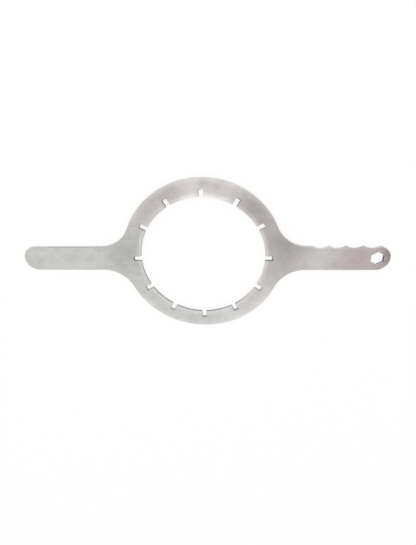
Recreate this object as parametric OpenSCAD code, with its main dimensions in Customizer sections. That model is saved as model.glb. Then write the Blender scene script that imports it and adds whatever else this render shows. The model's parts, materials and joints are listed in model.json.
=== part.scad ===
// Flat spanner for the round lid of a filter housing.
// One plate, cut to outline: a notched ring between two opposite handles.
// The plate lies on the XY plane with its underside at Z = 0. The origin is the
// centre of the ring, and +X points along the handle that has the finger grip.

/* [Plate] */
// Thickness of the plate
plate_t = 3.2; // [2:0.1:6]

/* [Ring] */
// Diameter of the bore that drops over the lid
bore_d = 152.4; // [120:0.2:200]
// Width of the ring from the bore to its outer edge
ring_w = 21.8; // [16:0.2:32]

/* [Notches] */
// Number of notches round the bore, one of them on the +X axis
notch_n = 12; // [6:1:18]
// Width of a notch
notch_w = 5.6; // [3:0.1:9]
// Depth of a notch, from the bore to its flat end
notch_depth = 8.5; // [4:0.1:12]

/* [Handles] */
// Width of a handle, which is also the diameter of its round end
handle_w = 31; // [26:0.5:40]
// Straight length of a handle, from its root fillet to the centre of its round end
handle_l = 83; // [50:1:140]
// Radius of the fillets between the ring and the handles
fillet_r = 40; // [15:1:60]

/* [Hexagon hole] */
// Distance across the flats of the hole in the gripped handle
hex_af = 14.6; // [8:0.1:20]

/* [Finger grip] */
// Distance from one finger hollow to the next
finger_pitch = 20; // [16:0.5:26]
// Depth of a finger hollow below the edge of the handle
finger_depth = 2.8; // [1.5:0.1:4]
// Radius of the crests that part the finger hollows
crest_r = 2.5; // [1:0.1:4]
// Distance by which the row of hollows runs on into the round end
grip_overrun = 2; // [0:0.5:4]

/* [Hidden] */
$fn = 180;

// Arcs that run into each other overlap by this much, so that they cross at one clean point.
hair = 0.002;

ring_r = bore_d / 2 + ring_w;
notch_root_r = bore_d / 2 + notch_depth;
handle_r = handle_w / 2;

// A fillet touches the ring and the edge of the handle, so its centre lies at a
// known distance from both.
fillet_y = handle_r + fillet_r;
fillet_x = sqrt(pow(ring_r + fillet_r, 2) - pow(fillet_y, 2));
tip_x = fillet_x + handle_l;

// The hollows and crests are arcs that run into each other, with the tops of the
// crests level with the edge of the handle. Depth and pitch then give the radius.
finger_n = floor((handle_l + grip_overrun) / finger_pitch);
finger_r = (pow(finger_depth, 2) + pow(finger_pitch / 2, 2)) / (2 * finger_depth) - crest_r;
finger_y = handle_r - finger_depth + finger_r;
crest_y = handle_r - crest_r;
last_finger_x = tip_x + grip_overrun - finger_pitch / 2;

// The centres of the hollows, from the round end back to the ring
finger_at = [for (k = [0 : finger_n - 1]) [last_finger_x - k * finger_pitch, finger_y]];
first_crest_x = last_finger_x - (finger_n - 0.5) * finger_pitch;
// The last crest touches the round end inside and the last hollow outside.
tip_crest_at = circles_meet([tip_x, 0], handle_r - crest_r + hair, finger_at[0], finger_r + crest_r);

// Where two circles meet, on the right-hand side of the line from p to q
function circles_meet(p, p_r, q, q_r) =
    let (
        gap = norm(q - p),
        along = (q - p) / gap,
        across = [along.y, -along.x],
        a = (gap * gap + p_r * p_r - q_r * q_r) / (2 * gap)
    )
    p + a * along + sqrt(p_r * p_r - a * a) * across;

// Metal that fills the corner between the ring and the upper edge of the +X handle
module fillet_web() {
    difference() {
        polygon([[0, 0], [fillet_x, 0], [fillet_x, fillet_y]]);
        translate([fillet_x, fillet_y]) circle(r = fillet_r + hair);
    }
}

// The +X handle, with the two fillets at its root and its round end
module handle_blank() {
    translate([0, -handle_r]) square([tip_x, handle_w]);
    translate([tip_x, 0]) circle(r = handle_r);
    fillet_web();
    mirror([0, 1]) fillet_web();
}

// One notch, open to the bore
module notch() {
    translate([0, -notch_w / 2]) square([notch_root_r, notch_w]);
}

// The space above one crest, between the lines from its centre to two points
module over_crest(crest_at, left, right) {
    difference() {
        polygon([crest_at, right, left]);
        translate(crest_at) circle(r = crest_r);
    }
}

// Everything that the finger grip takes off the upper edge of the handle
module finger_row() {
    for (at = finger_at)
        translate(at) circle(r = finger_r + hair);
    for (k = [1 : 1 : finger_n - 1])
        over_crest([finger_at[k].x + finger_pitch / 2, crest_y], finger_at[k], finger_at[k - 1]);
    over_crest([first_crest_x, crest_y], [first_crest_x, finger_y], finger_at[finger_n - 1]);
    over_crest(tip_crest_at, finger_at[0], tip_crest_at * 2 - [tip_x, 0]);
}

// The outline of the plate
module outline() {
    difference() {
        union() {
            circle(r = ring_r);
            handle_blank();
            mirror([1, 0]) handle_blank();
        }
        circle(d = bore_d);
        for (k = [0 : notch_n - 1])
            rotate(k * 360 / notch_n) notch();
        translate([tip_x, 0]) rotate(30) circle(d = hex_af / cos(30), $fn = 6);
        finger_row();
    }
}

module wrench_plate() {
    color([0.74, 0.74, 0.72]) linear_extrude(plate_t) outline();
}

wrench_plate();
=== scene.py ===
# %% [markdown]
# A spanner for filter housings: the lesson
#
# The real tool is a single steel plate, cut to outline. A ring with twelve notches drops over the lid of a
# filter housing, and two handles turn it. One handle has hollows for the fingers and a hexagon hole.
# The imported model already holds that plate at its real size. This script loads it as a fixed frame and
# makes the plate that the camera sees: rounder arcs, broken edges, and the finish of rolled and cut steel.

# %% Load the frame
import json
import math

import bpy
from mathutils import Matrix, Vector

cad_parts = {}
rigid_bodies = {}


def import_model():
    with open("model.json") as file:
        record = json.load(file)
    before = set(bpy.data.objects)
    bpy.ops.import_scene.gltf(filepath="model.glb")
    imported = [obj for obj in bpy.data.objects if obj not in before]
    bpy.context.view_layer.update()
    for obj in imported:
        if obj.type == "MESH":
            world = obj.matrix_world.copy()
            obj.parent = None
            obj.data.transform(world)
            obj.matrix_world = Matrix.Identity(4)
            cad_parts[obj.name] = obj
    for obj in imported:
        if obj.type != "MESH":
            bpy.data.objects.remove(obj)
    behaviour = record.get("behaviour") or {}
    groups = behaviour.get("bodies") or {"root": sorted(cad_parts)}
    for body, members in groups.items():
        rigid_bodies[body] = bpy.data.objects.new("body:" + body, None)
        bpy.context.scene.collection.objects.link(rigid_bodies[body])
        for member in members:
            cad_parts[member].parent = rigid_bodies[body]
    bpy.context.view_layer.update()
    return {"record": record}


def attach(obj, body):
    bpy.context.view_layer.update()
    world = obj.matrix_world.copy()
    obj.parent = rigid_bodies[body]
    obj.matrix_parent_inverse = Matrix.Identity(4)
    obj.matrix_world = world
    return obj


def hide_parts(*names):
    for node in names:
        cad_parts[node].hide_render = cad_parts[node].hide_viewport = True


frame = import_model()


def in_mm(metres):
    """A length in millimetres, rounded for printing."""
    return round(metres * 1000, 1)


# %% [markdown]
# The camera
#
# The photo was taken from close by, on the far side of the ring, with the camera tilted a little: the ring
# is nearer at the top of the picture than at the bottom, and the handles spread towards the corners. A
# camera can be turned by three angles, but a place, a point to look at and a small roll are easier to read
# and to change.

# %% Place the camera
camera_place = Vector((0.0294, 0.1757, 0.3931))
camera_aim = Vector((0.0059, -0.0206, 0.0))
camera_roll = math.radians(1.425)
camera_lens_mm = 23.04
film_height_mm = 36.0
nearest_seen = 0.01

bpy.ops.object.select_all(action="DESELECT")
bpy.ops.object.camera_add(location=camera_place)
camera = bpy.context.object
camera.name = "photo_camera"
camera.data.sensor_fit = "VERTICAL"
camera.data.sensor_height = film_height_mm
camera.data.lens = camera_lens_mm
camera.data.clip_start = nearest_seen

# The picture's upright is the part's +Y, leaning to the right by the roll.
ahead = (camera_aim - camera_place).normalized()
level_right = ahead.cross(Vector((0, 1, 0))).normalized()
picture_right = Matrix.Rotation(camera_roll, 3, ahead) @ level_right
picture_up = picture_right.cross(ahead)
turned = Matrix((picture_right, picture_up, -ahead)).transposed()
camera.matrix_world = Matrix.LocRotScale(camera_place, turned, None)
bpy.context.scene.camera = camera
print("The camera is", in_mm((camera_aim - camera_place).length), "mm from what it looks at")

# %% [markdown]
# The floor
#
# The plate lies flat on a white sheet. A plain white floor would come out light grey, so the share of it
# that the camera sees is mixed with a glow of exactly white. The rest of it still takes the soft shadow of
# the plate. The floor lies a hair below the plate, because two faces in one place flicker.

# %% Helpers for nodes
def add_node(tree, kind, inputs=None, **settings):
    """Adds a node, changes its settings, and fills its inputs with values or with links."""
    node = tree.nodes.new(kind)
    for name, value in settings.items():
        setattr(node, name, value)
    for name, value in (inputs or {}).items():
        if isinstance(value, bpy.types.NodeSocket):
            tree.links.new(value, node.inputs[name])
        else:
            node.inputs[name].default_value = value
    return node


def work_out(tree, operation, first, second=0.0):
    """The result of a sum on two values or sockets."""
    return add_node(tree, "ShaderNodeMath", {0: first, 1: second}, operation=operation).outputs[0]


def seen_directly(tree):
    """1 for light that reaches the camera straight or by a mirror, and 0 for light that fills shadows."""
    path = add_node(tree, "ShaderNodeLightPath")
    straight = work_out(tree, "MAXIMUM", path.outputs["Is Camera Ray"], path.outputs["Is Glossy Ray"])
    return work_out(tree, "MAXIMUM", straight, path.outputs["Is Transmission Ray"])


print("The helpers for nodes are ready")

# %% Lay the floor
floor_size = 12.0
floor_gap = 0.00005
floor_glow_share = 0.75
floor_white = (0.95, 0.95, 0.95, 1)
white_light = {"Color": (1, 1, 1, 1), "Strength": 1.0}

bpy.ops.mesh.primitive_plane_add(size=floor_size, location=(0, 0, -floor_gap))
floor = bpy.context.object
floor.name = "white_sheet"
white_sheet = bpy.data.materials.new("white_sheet")
white_sheet.use_nodes = True
sheet_nodes = white_sheet.node_tree
sheet_nodes.nodes.clear()
paper = add_node(sheet_nodes, "ShaderNodeBsdfDiffuse", {"Color": floor_white})
glow = add_node(sheet_nodes, "ShaderNodeEmission", white_light)
glow_share = work_out(sheet_nodes, "MULTIPLY", seen_directly(sheet_nodes), floor_glow_share)
lit_sheet = add_node(sheet_nodes, "ShaderNodeMixShader",
                     {0: glow_share, 1: paper.outputs[0], 2: glow.outputs[0]})
add_node(sheet_nodes, "ShaderNodeOutputMaterial", {"Surface": lit_sheet.outputs[0]})
floor.data.materials.append(white_sheet)
print("The floor is", floor_size, "m wide")

# %% [markdown]
# The light
#
# The photo was taken in even light, with hardly a shadow. Bare metal has almost no colour of its own under
# such light: it shows what it mirrors. So the world around it is plain white. One large weak lamp behind
# the camera lights the walls that face it, and a narrow one ahead gives the bright spot at the top of the
# ring. Both are weak, because a lamp that the plate mirrors adds to the white behind it.

# %% A white room
scene = bpy.context.scene
scene.view_settings.view_transform = "Standard"

world = bpy.data.worlds.new("white_room")
scene.world = world
world.use_nodes = True
room = world.node_tree
room.nodes.clear()
room_light = add_node(room, "ShaderNodeBackground", white_light)
add_node(room, "ShaderNodeOutputWorld", {"Surface": room_light.outputs[0]})
print("The world is", world.name)

# %% Two weak lamps
def hang_lamp(name, place, aim, width, height, watts):
    """A soft lamp that hangs at a place and faces a point."""
    bpy.ops.object.light_add(type="AREA", location=place)
    lamp = bpy.context.object
    lamp.name = name
    lamp.data.shape = "RECTANGLE"
    lamp.data.size = width
    lamp.data.size_y = height
    lamp.data.energy = watts
    lamp.rotation_euler = (Vector(aim) - Vector(place)).to_track_quat("-Z", "Y").to_euler()
    print("Lamp", name, "gives", watts, "W")


hang_lamp("wide_lamp", place=(-0.35, 0.95, 1.25), aim=(0, 0, 0),
          width=1.6, height=1.6, watts=2.5)
hang_lamp("strip_lamp", place=(-0.12, -0.26, 1.2), aim=(0, 0.07, 0),
          width=0.33, height=0.05, watts=0.07)

# %% [markdown]
# The outline
#
# On the real tool a laser follows one closed line round the plate, another round the bore, and a third
# round the hexagon. The same can be done here. A single point is the pen: extruding it draws a straight
# line, and spinning it round a centre draws an arc, as a compass does. Building rings and boxes and cutting
# them with Boolean modifiers would also work, but it leaves ragged faces where the arcs meet, and those
# spoil the bevels.

# %% Sizes of the plate
# The record gives the bore, the thickness and the place of the hexagon.
mounts = {mount["name"]: mount for mount in frame["record"]["mounts"]}
bore_radius = mounts["lid_bore"]["dims"]["r_mm"] / 1000
plate_thickness = mounts["lid_bore"]["dims"]["length_mm"] / 1000
tip_x = mounts["hex_hole"]["pos_m"][0]

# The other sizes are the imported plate's own.
ring_width = 0.0218
notch_count = 12
notch_width = 0.0056
notch_depth = 0.0085
handle_width = 0.031
fillet_radius = 0.040
hexagon_flats = 0.0146
finger_count = 4
finger_pitch = 0.020
finger_depth = 0.0028
crest_radius = 0.0025
grip_overrun = 0.002

ring_radius = bore_radius + ring_width
handle_radius = handle_width / 2
print("Ring", in_mm(2 * ring_radius), "mm across, handles", in_mm(tip_x), "mm to the round ends")

# %% Pen and compass
line_play = 0.000006
dot_size = 0.001


def flat(x, y):
    """A point on the underside of the plate."""
    return Vector((x, y, 0))


def put_pen(point):
    """Starts a new line: a tiny plane, merged into one point."""
    bpy.ops.mesh.select_all(action="DESELECT")
    bpy.ops.mesh.primitive_plane_add(size=dot_size, location=point)
    bpy.ops.mesh.merge(type="CENTER")
    return point


def draw_line(pen, end):
    """Extrudes the point straight to the end."""
    bpy.ops.mesh.extrude_region_move(TRANSFORM_OT_translate={"value": end - pen})
    return end


def draw_arc(pen, centre, turn):
    """Spins the point round the centre, anticlockwise for a positive turn. Spin itself counts clockwise."""
    radius = (pen - centre).length
    largest_step = 2 * math.acos(1 - line_play / radius)
    steps = math.ceil(abs(turn) / largest_step)
    bpy.ops.mesh.spin(steps=steps, angle=-turn, center=centre, axis=(0, 0, 1))
    return centre + Matrix.Rotation(turn, 3, "Z") @ (pen - centre)


def direction(start, end):
    """The angle of the line from one point to another, from -X round to -X."""
    return math.atan2(end.y - start.y, end.x - start.x)


print("A drawn arc strays from a true one by at most", line_play, "m")

# %% Where the arcs have their centres
# A fillet touches the ring and a handle's edge, so its centre is a known distance from both.
fillet_y = handle_radius + fillet_radius
fillet_x = math.sqrt((ring_radius + fillet_radius) ** 2 - fillet_y ** 2)
fillet_bearing = math.atan2(fillet_y, fillet_x)
fillet_turn = math.pi / 2 - fillet_bearing
ring_turn = math.pi - 2 * fillet_bearing

# Hollows and crests run into each other, and the crests are level with the edge of the handle.
hollow_radius = (finger_depth ** 2 + (finger_pitch / 2) ** 2) / (2 * finger_depth) - crest_radius
hollow_y = handle_radius - finger_depth + hollow_radius
crest_y = handle_radius - crest_radius
last_hollow_x = tip_x + grip_overrun - finger_pitch / 2
hollows = [flat(last_hollow_x - k * finger_pitch, hollow_y) for k in range(finger_count)]
crests = [flat(hollow.x - finger_pitch / 2, crest_y) for hollow in hollows]


def circles_meet(first, first_radius, second, second_radius):
    """Where two circles cross, on the right-hand side of the line from the first to the second."""
    gap = (second - first).length
    along = (second - first) / gap
    across = flat(along.y, -along.x)
    share = (gap ** 2 + first_radius ** 2 - second_radius ** 2) / (2 * gap)
    return first + share * along + math.sqrt(first_radius ** 2 - share ** 2) * across


# The last crest touches the round end from inside and the last hollow from outside.
tip = flat(tip_x, 0)
tip_crest = circles_meet(tip, handle_radius - crest_radius, hollows[0], hollow_radius + crest_radius)
print("Hollows have a radius of", in_mm(hollow_radius), "mm, fillets are centred", in_mm(fillet_x), "mm out")

# %% Draw the outer edge
bpy.ops.object.select_all(action="DESELECT")
bpy.ops.mesh.primitive_plane_add(size=dot_size)
plate = bpy.context.object
plate.name = "cut_plate"
bpy.ops.object.mode_set(mode="EDIT")
bpy.ops.mesh.delete(type="VERT")
start = flat(tip_x, -handle_radius)
pen = put_pen(start)

# The round end of the gripped handle, up to the last crest
pen = draw_arc(pen, tip, direction(tip, tip_crest) + math.pi / 2)
pen = draw_arc(pen, tip_crest, direction(tip_crest, hollows[0]) - direction(tip, tip_crest))

# The finger hollows, from the round end back to the ring
crest_before = tip_crest
for hollow, crest in zip(hollows, crests):
    pen = draw_arc(pen, hollow, direction(hollow, crest) - direction(hollow, crest_before))
    half_crest = math.pi / 2 - direction(crest, hollow)
    pen = draw_arc(pen, crest, half_crest if hollow is hollows[-1] else 2 * half_crest)
    crest_before = crest

# Along the top: fillet, ring, fillet
pen = draw_line(pen, flat(fillet_x, handle_radius))
pen = draw_arc(pen, flat(fillet_x, fillet_y), -fillet_turn)
pen = draw_arc(pen, flat(0, 0), ring_turn)
pen = draw_arc(pen, flat(-fillet_x, fillet_y), -fillet_turn)

# Round the plain handle
pen = draw_line(pen, flat(-tip_x, handle_radius))
pen = draw_arc(pen, flat(-tip_x, 0), math.pi)
pen = draw_line(pen, flat(-fillet_x, -handle_radius))

# Back along the bottom
pen = draw_arc(pen, flat(-fillet_x, -fillet_y), -fillet_turn)
pen = draw_arc(pen, flat(0, 0), ring_turn)
pen = draw_arc(pen, flat(fillet_x, -fillet_y), -fillet_turn)
pen = draw_line(pen, start)
bpy.ops.mesh.select_all(action="SELECT")
bpy.ops.mesh.remove_doubles(threshold=line_play)
print("The outer edge has", plate.data.total_vert_sel, "points")

# %% Draw the bore and the hexagon
# One notch and the land beside it are drawn, then spun round the bore as copies.
mouth_x = math.sqrt(bore_radius ** 2 - (notch_width / 2) ** 2)
root_x = bore_radius + notch_depth
notch_angle = 2 * math.pi / notch_count
mouth_angle = 2 * math.asin(notch_width / 2 / bore_radius)
pen = put_pen(flat(mouth_x, -notch_width / 2))
pen = draw_line(pen, flat(root_x, -notch_width / 2))
pen = draw_line(pen, flat(root_x, notch_width / 2))
pen = draw_line(pen, flat(mouth_x, notch_width / 2))
pen = draw_arc(pen, flat(0, 0), notch_angle - mouth_angle)
bpy.ops.mesh.select_linked()
bpy.ops.mesh.spin(steps=notch_count - 1, angle=notch_angle * (notch_count - 1), dupli=True,
                  center=(0, 0, 0), axis=(0, 0, 1))

# A six-sided circle starts with a corner on +Y, so two of its flats face the ring and the round end.
hexagon_radius = hexagon_flats / 2 / math.cos(math.pi / 6)
bpy.ops.mesh.primitive_circle_add(vertices=6, radius=hexagon_radius, location=tip)
bpy.ops.mesh.select_all(action="SELECT")
bpy.ops.mesh.remove_doubles(threshold=line_play)
print("All three lines have", plate.data.total_vert_sel, "points")

# %% [markdown]
# From outline to plate
#
# The lines are filled to a flat sheet. The fill makes long thin triangles, and a bevel would trip over
# them, so an inset first lays an even strip along every edge. Solidify gives the sheet its thickness. A cut
# plate that is safe to hold has its edges broken with a file or in a tumbler: the Bevel modifier does that
# on every edge sharper than its angle, and hardened normals keep the large faces perfectly flat.

# %% Fill the lines
edge_strip = 0.0009

bpy.ops.mesh.fill(use_beauty=True)
bpy.ops.mesh.select_all(action="SELECT")
bpy.ops.mesh.inset(thickness=edge_strip, use_even_offset=True, use_boundary=True)
bpy.ops.mesh.select_all(action="SELECT")
bpy.ops.mesh.normals_make_consistent(inside=False)
bpy.ops.object.mode_set(mode="OBJECT")
if plate.data.polygons[0].normal.z < 0:
    plate.data.flip_normals()


def area_in_mm(faces):
    """The area of some faces in square millimetres, rounded for printing."""
    return round(sum(face.area for face in faces) * 1e6)


print("The sheet has", area_in_mm(plate.data.polygons), "square mm")

# %% Thicken the sheet and break its edges
edge_break = 0.0004
edge_break_steps = 3
sharp_angle = math.radians(35)

thickness = plate.modifiers.new("thickness", "SOLIDIFY")
thickness.thickness = plate_thickness
thickness.offset = 1.0
bpy.ops.object.modifier_apply(modifier=thickness.name)

bpy.ops.object.shade_smooth()
broken_edge = plate.modifiers.new("broken_edge", "BEVEL")
broken_edge.width = edge_break
broken_edge.segments = edge_break_steps
broken_edge.limit_method = "ANGLE"
broken_edge.angle_limit = sharp_angle
broken_edge.use_clamp_overlap = False
broken_edge.harden_normals = True
bpy.ops.object.modifier_apply(modifier=broken_edge.name)
print("The plate has", len(plate.data.polygons), "faces")

# %% [markdown]
# Shared patterns
#
# Rolled sheet has two patterns. Soft patches a finger wide are left by scale and oil, and fine streaks run
# the way the sheet was rolled. The cut walls have streaks too, straight down through the thickness, where
# the laser stepped along. Both could be drawn again in every material. Instead each pattern is a node
# group, so that every finish uses the same one with its own values.

# %% Helpers for patterns
# Noise seldom leaves this middle range, which is spread over 0 to 1.
noise_low = 0.28
noise_high = 0.72


def new_group(name, inputs, outputs):
    """An empty node group with named sockets. Returns it with its input and output nodes."""
    group = bpy.data.node_groups.new(name, "ShaderNodeTree")
    for label, kind in inputs.items():
        group.interface.new_socket(name=label, in_out="INPUT", socket_type=kind)
    for label, kind in outputs.items():
        group.interface.new_socket(name=label, in_out="OUTPUT", socket_type=kind)
    return group, add_node(group, "NodeGroupInput"), add_node(group, "NodeGroupOutput")


def combine(tree, operation, first, second):
    """A node that works on two places, or on a place and a direction."""
    return add_node(tree, "ShaderNodeVectorMath", {0: first, 1: second}, operation=operation)


def noise(tree, place, scale, detail, roughness=0.5):
    """Soft noise whose contrast is spread over 0 to 1."""
    clouds = add_node(tree, "ShaderNodeTexNoise",
                      {"Vector": place, "Scale": scale, "Detail": detail, "Roughness": roughness})
    spread = add_node(tree, "ShaderNodeMapRange",
                      {"Value": clouds.outputs["Fac"], "From Min": noise_low, "From Max": noise_high})
    return spread.outputs["Result"]


print("Noise from", noise_low, "to", noise_high, "is spread over 0 to 1")

# %% Patches
# How light the sheet is from place to place, and how its tint drifts. The tint is moved aside and drawn
# larger, so that it doesn't follow the patches.
patch_detail = 4.0
tint_detail = 2.0
tint_aside = (0.31, 0.17, 0.0)
tints_per_patch = 0.4

sheet_patches, given, result = new_group(
    "sheet_patches", {"Place": "NodeSocketVector", "Patches per metre": "NodeSocketFloat"},
    {"Patches": "NodeSocketFloat", "Tint": "NodeSocketFloat"})
patch_place = given.outputs["Place"]
patch_scale = given.outputs["Patches per metre"]
patches = noise(sheet_patches, patch_place, patch_scale, patch_detail)
sheet_patches.links.new(patches, result.inputs["Patches"])
tint_place = combine(sheet_patches, "ADD", patch_place, tint_aside).outputs["Vector"]
tint_scale = work_out(sheet_patches, "MULTIPLY", patch_scale, tints_per_patch)
drift = noise(sheet_patches, tint_place, tint_scale, tint_detail)
sheet_patches.links.new(drift, result.inputs["Tint"])
print("The group", sheet_patches.name, "has", len(sheet_patches.nodes), "nodes")

# %% Streaks
# Noise that is squeezed across the streaks and pulled out along them
streak_detail = 3.0
streak_roughness = 0.6

drawn_streaks, given, result = new_group(
    "drawn_streaks", {"Place": "NodeSocketVector", "Streaks per metre": "NodeSocketVector"},
    {"Streaks": "NodeSocketFloat"})
squeezed = combine(drawn_streaks, "MULTIPLY", given.outputs["Place"], given.outputs["Streaks per metre"])
streaks = noise(drawn_streaks, squeezed.outputs["Vector"],
                scale=1.0, detail=streak_detail, roughness=streak_roughness)
drawn_streaks.links.new(streaks, result.inputs["Streaks"])
print("The group", drawn_streaks.name, "has", len(drawn_streaks.nodes), "nodes")

# %% [markdown]
# The rolled face
#
# Bare mill steel is a dull mirror. It is metallic all over, and its grey drifts from a cool light tone on
# the plain handle to a warmer, darker one towards the gripped handle. A painted picture could hold that
# drift, but it would blur from close by. So it is laid on in soft round clouds: each has a centre on the
# plate and a radius, and makes the metal darker or lighter, warmer or cooler.

# %% Helpers for finishes
def new_finish(name):
    """A bare metal: its material, its node tree and its Principled shader."""
    finish = bpy.data.materials.new(name)
    finish.use_nodes = True
    shader = finish.node_tree.nodes["Principled BSDF"]
    shader.inputs["Metallic"].default_value = 1.0
    return finish, finish.node_tree, shader


def place_on_plate(tree):
    """The place of each point of the surface, from the centre of the ring."""
    return add_node(tree, "ShaderNodeTexCoord").outputs["Object"]


def use_group(tree, group, inputs):
    """Places a node group in a material."""
    return add_node(tree, "ShaderNodeGroup", inputs, node_tree=group)


def fade(tree, value, none, full):
    """Runs smoothly from 0, where the value is none, to 1, where it is full."""
    ramp = add_node(tree, "ShaderNodeMapRange", {"Value": value, "From Min": none, "From Max": full},
                    interpolation_type="SMOOTHSTEP")
    return ramp.outputs["Result"]


def distance(tree, place, centre):
    """How far a place is from a centre."""
    return combine(tree, "DISTANCE", place, centre).outputs["Value"]


def soft_cloud(tree, place, centre, radius, core=0.0):
    """1 in the core of a round cloud, fading to 0 at its radius."""
    return fade(tree, distance(tree, place, centre), radius, core)


def add_share(tree, value, mask, amount):
    """Adds as much of an amount to a value as the mask lets through."""
    return work_out(tree, "ADD", value, work_out(tree, "MULTIPLY", mask, amount))


rolled_face, face_nodes, face_shader = new_finish("rolled_face")
face_place = place_on_plate(face_nodes)
print("The finish", rolled_face.name, "has its shader")

# %% Where the face is dull or light
# Each place has a centre, a radius, how much darker it is and how much warmer. Below 0 is lighter or cooler.
# A wide cloud is centred on the underside. A small mark has to be centred on the upper face to show there.
clean_tone = 0.575
upper_face = plate_thickness
dull_places = [
    # The roots of the two handles
    ((0.099, 0.017, 0), 0.052, 0.19, 0.10),
    ((0.090, -0.024, 0), 0.030, 0.05, 0.00),
    ((0.086, 0.003, 0), 0.018, -0.05, 0.00),
    ((-0.090, 0.006, 0), 0.052, 0.12, 0.00),
    # Round the ring, from the root of the gripped handle over the top
    ((0.088, 0.047, 0), 0.024, -0.045, 0.00),
    ((0.068, 0.062, 0), 0.050, 0.16, 0.10),
    ((0.052, 0.064, 0), 0.018, 0.06, 0.20),
    ((0.017, 0.089, 0), 0.009, 0.08, 0.00),
    ((0.004, 0.093, 0), 0.011, 0.10, 0.05),
    ((-0.034, 0.082, 0), 0.020, 0.09, 0.05),
    ((-0.055, 0.074, 0), 0.060, 0.10, 0.45),
    ((-0.050, -0.075, 0), 0.055, 0.00, 0.12),
    ((0.040, -0.082, 0), 0.050, -0.05, -0.12),
    ((0.077, -0.071, 0), 0.024, -0.06, 0.00),
    ((0.086, -0.046, 0), 0.018, -0.06, 0.00),
    # The gripped handle and its round end
    ((0.137, -0.002, 0), 0.030, -0.03, -0.50),
    ((0.190, 0.000, 0), 0.070, 0.10, 0.06),
    ((0.228, 0.000, 0), 0.030, 0.19, 0.05),
    ((0.221, 0.009, 0), 0.012, 0.12, 0.10),
    ((0.227, 0.002, 0), 0.008, 0.06, -0.60),
    # Small marks: beyond the notch at the plain handle, below the hexagon, and a lighter one beside it
    ((-0.0860, 0.000, upper_face), 0.0020, 0.16, 0.00),
    ((0.2125, -0.0150, upper_face), 0.0045, 0.08, 0.08),
    ((tip_x + 0.0088, 0.0005, upper_face), 0.0030, -0.10, 0.00),
]

# Fingers have rubbed the crests between the hollows.
crest_rub = 0.09
crest_rub_radius = 0.0035
for crest in crests[:-1]:
    dull_places.append(((crest.x, crest.y, upper_face), crest_rub_radius, -crest_rub, 0.00))
print("The face is darker or lighter in", len(dull_places), "places")

# %% Tone and warmth
# The grey warms up towards the gripped handle, and each place then adds its own share.
warm_way = (0.85, 0.50, 0.0)
warm_from = -0.08
warm_to = 0.19
along_way = combine(face_nodes, "DOT_PRODUCT", face_place, warm_way)
warm_ramp = add_node(face_nodes, "ShaderNodeMapRange",
                     {"Value": along_way.outputs["Value"], "From Min": warm_from, "From Max": warm_to})
tone = clean_tone
warmth = warm_ramp.outputs["Result"]
for centre, radius, darker, warmer in dull_places:
    cloud = soft_cloud(face_nodes, face_place, centre, radius)
    tone = add_share(face_nodes, tone, cloud, -darker)
    warmth = add_share(face_nodes, warmth, cloud, warmer)
print("The clean tone is", clean_tone)

# %% [markdown]
# The rims
#
# The face is painted lighter along the rim of the bore, and more at the top of the ring and beside the
# handles: a painted highlight, the glare of the white floor in the bore. Along the outer rim, above and
# below the handles, it is painted lighter too, a painted glare of the white floor beside the plate.
# Pointiness finds such edges by itself, but only where the mesh is dense. The distance from the middle of
# the ring gives an even band on any mesh.

# %% Painted highlights along the rims
# Each place of painted highlight has a centre, a radius, the radius of its full core, and how much lighter
# it is.
rim_width = 0.007
rim_glare = 0.10
glare_places = [
    ((0.002, 0.080, 0), 0.042, 0.012, 0.115),
    ((0.070, 0.024, 0), 0.052, 0.010, 0.100),
    ((-0.076, 0.014, 0), 0.036, 0.006, 0.090),
]
for centre, radius, core, more in glare_places:
    cloud = soft_cloud(face_nodes, face_place, centre, radius, core)
    rim_glare = add_share(face_nodes, rim_glare, cloud, more)
# The band along the bore is painted lighter all round, and more at these places: a painted glare of the
# white floor in the bore.
from_middle = distance(face_nodes, face_place, (0, 0, 0))
bore_rim = fade(face_nodes, from_middle, bore_radius + rim_width, bore_radius)
tone = add_share(face_nodes, tone, bore_rim, rim_glare)

# Along the outer rim, clear of the handles, the face is painted lighter: a painted glare of the white floor
# beside the plate.
outer_rim_glare = 0.085
handles_reach = 0.035
clear_of_handles = 0.060
outer_rim = fade(face_nodes, from_middle, ring_radius - rim_width, ring_radius)
across = add_node(face_nodes, "ShaderNodeSeparateXYZ", {"Vector": face_place}).outputs["Y"]
off_axis = work_out(face_nodes, "ABSOLUTE", across)
off_handles = fade(face_nodes, off_axis, handles_reach, clear_of_handles)
outer_rim_glare_mask = work_out(face_nodes, "MULTIPLY", outer_rim, off_handles)
tone = add_share(face_nodes, tone, outer_rim_glare_mask, outer_rim_glare)
print("The rims are", in_mm(rim_width), "mm wide")

# %% [markdown]
# Grain, tint and gloss
#
# The patches and streaks of the sheet change the tone by a few hundredths. The warmth picks a tint from a
# colour ramp, and the tone dims it. The streaks also show as small changes in roughness and height. A thin
# film of oil over it all is the shader's coat.

# %% Grain
def stretch(tree, pattern, low, high):
    """Turns a pattern of 0 to 1 into one that runs from low to high."""
    change = add_node(tree, "ShaderNodeMapRange", {"Value": pattern, "To Min": low, "To Max": high})
    return change.outputs["Result"]


def vary(tree, value, pattern, change):
    """A value that a pattern makes smaller and larger, by the same share both ways."""
    return work_out(tree, "MULTIPLY", value, stretch(tree, pattern, 1 - change, 1 + change))


face_patches = use_group(face_nodes, sheet_patches, {"Place": face_place, "Patches per metre": 75.0})
small_patches = use_group(face_nodes, sheet_patches, {"Place": face_place, "Patches per metre": 210.0})
face_streaks = use_group(face_nodes, drawn_streaks,
                         {"Place": face_place, "Streaks per metre": (24.0, 480.0, 480.0)})
streak_pattern = face_streaks.outputs["Streaks"]
grain = [
    (face_patches.outputs["Patches"], 0.055),
    (small_patches.outputs["Patches"], 0.045),
    (streak_pattern, 0.04),
]
for pattern, change in grain:
    tone = vary(face_nodes, tone, pattern, change)
    print("A pattern changes the tone by", change, "both ways")

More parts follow.
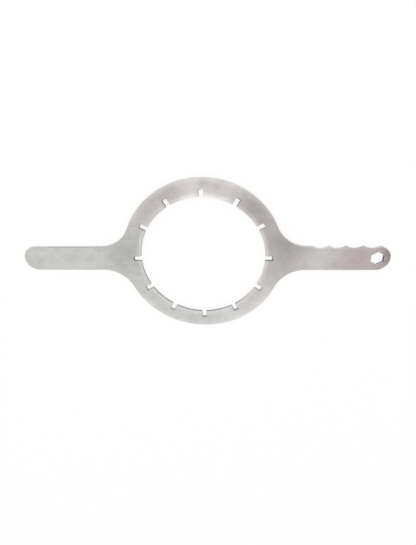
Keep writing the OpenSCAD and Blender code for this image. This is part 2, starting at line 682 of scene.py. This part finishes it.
# %% Tint
# From a cool grey through a neutral and a warm one to the blush of the gripped end
tint_stops = [
    (0.00, (0.988, 1.000, 0.945, 1)),
    (0.13, (1.000, 1.000, 0.995, 1)),
    (0.40, (1.000, 0.950, 0.930, 1)),
    (0.85, (1.000, 0.935, 0.910, 1)),
    (1.00, (1.000, 0.840, 0.835, 1)),
]
tint_drift = 0.08


def shade(tree, colour, share):
    """A colour made darker by a share below 1, or lighter by one above it."""
    scaled = add_node(tree, "ShaderNodeVectorMath", {0: colour, "Scale": share}, operation="SCALE")
    return scaled.outputs["Vector"]


drifting = stretch(face_nodes, face_patches.outputs["Tint"], -tint_drift, tint_drift)
warmth = work_out(face_nodes, "ADD", warmth, drifting)
tints = add_node(face_nodes, "ShaderNodeValToRGB", {"Fac": warmth})
first_stop, last_stop = tints.color_ramp.elements
first_stop.color = tint_stops[0][1]
last_stop.color = tint_stops[-1][1]
for position, tint in tint_stops[1:-1]:
    tints.color_ramp.elements.new(position).color = tint
face_colour = shade(face_nodes, tints.outputs["Color"], tone)
face_nodes.links.new(face_colour, face_shader.inputs["Base Color"])
print("The tint has", len(tints.color_ramp.elements), "stops")

# %% Gloss and oil
face_smooth = 0.21
face_rough = 0.30
face_relief = 0.12
streak_height = 0.00004


def raise_pattern(tree, shader, pattern, strength, height):
    """Lets a pattern stand out from the surface."""
    bump = add_node(tree, "ShaderNodeBump", {"Strength": strength, "Distance": height, "Height": pattern})
    tree.links.new(bump.outputs["Normal"], shader.inputs["Normal"])


face_gloss = stretch(face_nodes, streak_pattern, face_smooth, face_rough)
face_nodes.links.new(face_gloss, face_shader.inputs["Roughness"])
raise_pattern(face_nodes, face_shader, streak_pattern, face_relief, streak_height)
face_shader.inputs["Coat Weight"].default_value = 0.3
face_shader.inputs["Coat Roughness"].default_value = 0.12
print("The rolled face has", len(face_nodes.nodes), "nodes")

# %% [markdown]
# The walls
#
# A laser leaves fine lines from face to face on the wall that it cuts. The three walls differ in tone by
# painted light and shade. Round the bore the wall is a dull grey, the painted shade of the bore. In the
# notches, and at the flats of the hexagon where its cut starts and ends, it is darker still: painted shade
# in these narrow holes, and partly scorch where the laser slowed down. The outer wall is painted light, a
# painted reflection of the lit floor beside it. All of these are narrow, but they draw the outline of the
# plate, and a plate without them looks like paper. One material with masks could hold all three. One
# function that makes three finishes is easier to read.

# %% A wall
wall_streaks = (1400.0, 1400.0, 120.0)
wall_rough = 0.62
wall_smooth = 0.45
wall_relief = 0.5
wall_line_height = 0.00008


def two_tones(tree, pattern, dark, light):
    """A colour that runs with a pattern from a dark tone to a light one."""
    ramp = add_node(tree, "ShaderNodeValToRGB", {"Fac": pattern})
    ramp.color_ramp.elements[0].color = (*dark, 1)
    ramp.color_ramp.elements[1].color = (*light, 1)
    return ramp.outputs["Color"]


def change_tone_at(tree, colour, place, tone_marks):
    """Takes a share off a colour at each mark. The lists hold painted shade, painted highlights and darker
    places. A negative share makes the place lighter.
    """
    for centre, radius, share in tone_marks:
        cloud = soft_cloud(tree, place, centre, radius)
        colour = shade(tree, colour, add_share(tree, 1.0, cloud, -share))
    return colour


def new_wall(name, dark, light, tone_marks):
    """A wall with lines from face to face, between a dark and a light tone."""
    wall, nodes, shader = new_finish(name)
    place = place_on_plate(nodes)
    lines = use_group(nodes, drawn_streaks, {"Place": place, "Streaks per metre": wall_streaks})
    pattern = lines.outputs["Streaks"]
    colour = change_tone_at(nodes, two_tones(nodes, pattern, dark, light), place, tone_marks)
    nodes.links.new(colour, shader.inputs["Base Color"])
    nodes.links.new(stretch(nodes, pattern, wall_rough, wall_smooth), shader.inputs["Roughness"])
    raise_pattern(nodes, shader, pattern, wall_relief, wall_line_height)
    print("Wall", name, "has", len(tone_marks), "stains and", len(nodes.nodes), "nodes")
    return wall


print("A wall has", wall_streaks[0], "lines per metre")

# %% The three walls
# Each mark has a centre, a radius and the share that it takes off. Below 0 is lighter.
# The outer wall is darker along the plain handle and beside the grip.
outer_wall_dark_places = [
    ((-0.150, handle_radius, 0), 0.09, 0.05),
    ((0.187, handle_radius, 0), 0.036, 0.30),
]
# Painted highlights: the bore wall is lighter at the top and on the right, beside the painted glare on the
# rim.
bore_wall_highlights = [
    ((0.070, -0.030, 0), 0.045, -0.80),
    ((0.000, 0.076, 0), 0.060, -0.90),
    ((0.074, 0.022, 0), 0.048, -0.90),
]
# Painted shade, partly scorch, in the notches and the hexagon, with one painted highlight at the top notch.
notch_shade_and_highlights = [
    # The notch at the top, with a painted highlight at one corner and painted shade on one wall
    ((0.0035, 0.083, upper_face), 0.007, -0.95),
    ((-0.004, 0.080, 0), 0.006, 0.97),
    ((-0.004, 0.083, upper_face), 0.005, 0.97),
    # The other notches, from the gripped handle over the top
    ((0.086, -0.003, upper_face), 0.004, 0.70),
    ((0.081, -0.004, 0), 0.012, 0.55),
    ((0.043, 0.069, 0), 0.009, 0.90),
    ((-0.043, 0.068, 0), 0.009, 0.80),
    ((-0.071, 0.041, 0), 0.009, 0.30),
    ((-0.086, 0.000, 0), 0.007, 0.60),
    ((0.000, -0.082, 0), 0.009, 0.25),
    ((0.041, -0.071, 0), 0.009, 0.40),
    # The hexagon
    ((tip_x + 0.007, 0, 0), 0.010, 0.98),
    ((tip_x + 0.003, -0.0065, 0), 0.008, 0.40),
    ((tip_x - 0.004, -0.006, 0), 0.007, 0.90),
]
# Copies of one wall in three tones: the outer wall painted light as a painted reflection of the lit floor,
# the bore and notch walls darker as painted shade.
lit_outer_wall = new_wall("lit_outer_wall", (0.57, 0.565, 0.555), (0.77, 0.765, 0.75), outer_wall_dark_places)
shaded_bore_wall = new_wall("shaded_bore_wall", (0.30, 0.295, 0.29), (0.54, 0.53, 0.52), bore_wall_highlights)
scorched_and_shaded_wall = new_wall("scorched_and_shaded_wall", (0.33, 0.322, 0.315), (0.55, 0.54, 0.53), notch_shade_and_highlights)

# %% [markdown]
# The rubbed edge
#
# The corners between the faces and the outer wall have been filed, and then rubbed by hands. They are
# smoother than the wall and patchy like the face. The edge could share the wall's finish, but it catches the
# light in another way, and that thin line is what makes the plate look thick.

# %% Rubbed edge
edge_dark = (0.56, 0.555, 0.545)
edge_light = (0.78, 0.775, 0.76)
edge_rough = 0.42
edge_smooth = 0.28
# The edge is darker along the plain handle and beside the grip.
edge_dark_places = [
    ((-0.158, handle_radius, upper_face), 0.085, 0.60),
    ((0.187, handle_radius, upper_face), 0.036, 0.15),
]
rubbed_edge, edge_nodes, edge_shader = new_finish("rubbed_edge")
edge_place = place_on_plate(edge_nodes)
edge_patches = use_group(edge_nodes, sheet_patches, {"Place": edge_place, "Patches per metre": 160.0})
edge_pattern = edge_patches.outputs["Patches"]
edge_tones = two_tones(edge_nodes, edge_pattern, edge_dark, edge_light)
edge_colour = change_tone_at(edge_nodes, edge_tones, edge_place, edge_dark_places)
edge_nodes.links.new(edge_colour, edge_shader.inputs["Base Color"])
edge_gloss = stretch(edge_nodes, edge_pattern, edge_rough, edge_smooth)
edge_nodes.links.new(edge_gloss, edge_shader.inputs["Roughness"])
print("The edges have", len(edge_nodes.nodes), "nodes")

# %% [markdown]
# Which face takes which finish
#
# Level faces are rolled, apart from the strip beyond each notch's end, which takes the finish of the
# notch walls. Inside the bore an edge looks like its wall, because no file gets there. Nuts rub the edges of
# the hexagon, apart from the edge next to the round end. Faces could be picked by hand, but there are
# thousands of them, and their slope and their place say what they are.

# %% Pick a finish
level = 0.999
upright = 1 - level
notch_start = bore_radius + edge_break
notch_end = root_x + edge_break

# Bearings from the middle of the hexagon, in degrees. The flat at the round end faces 0.
half_flat = 30
last_dark_flat = -120


def beyond_notch(face):
    """Whether a face belongs to the narrow strip beyond the end of a notch."""
    reaches = [plate.data.vertices[index].co.xy.length for index in face.vertices]
    in_strip = root_x < min(reaches) and max(reaches) < root_x + 2 * edge_strip
    return in_strip and face.area < notch_width * edge_strip


def scorched_and_shaded_in_hexagon(face):
    """Whether a face belongs to the dark flats, painted shade and partly burnt: the one at the round end,
    and the walls of two more.
    """
    if (face.center.xy - tip.xy).length >= hexagon_radius + edge_break:
        return False
    bearing = math.degrees(direction(tip, face.center))
    if abs(bearing) < half_flat:
        return True
    return last_dark_flat - half_flat < bearing < half_flat and abs(face.normal.z) < upright


def pick_finish(face):
    """The finish of a face, from its place and from how level it is."""
    levelness = abs(face.normal.z)
    from_centre = face.center.xy.length
    if beyond_notch(face):
        return scorched_and_shaded_wall
    if levelness > level:
        return rolled_face
    if notch_start < from_centre < notch_end or scorched_and_shaded_in_hexagon(face):
        return scorched_and_shaded_wall
    if from_centre < notch_start:
        return shaded_bore_wall
    if levelness < upright:
        return lit_outer_wall
    return rubbed_edge


print("The notches reach from", in_mm(notch_start), "to", in_mm(notch_end), "mm from the middle")

# %% Give each face its finish
finishes = [rolled_face, lit_outer_wall, shaded_bore_wall, scorched_and_shaded_wall, rubbed_edge]
for finish in finishes:
    plate.data.materials.append(finish)
for face in plate.data.polygons:
    face.material_index = finishes.index(pick_finish(face))
for index, finish in enumerate(finishes):
    covered = [face for face in plate.data.polygons if face.material_index == index]
    print(finish.name, "covers", area_in_mm(covered), "square mm")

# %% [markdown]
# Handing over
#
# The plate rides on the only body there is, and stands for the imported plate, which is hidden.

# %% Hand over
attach(plate, "root")
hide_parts("wrench_plate")
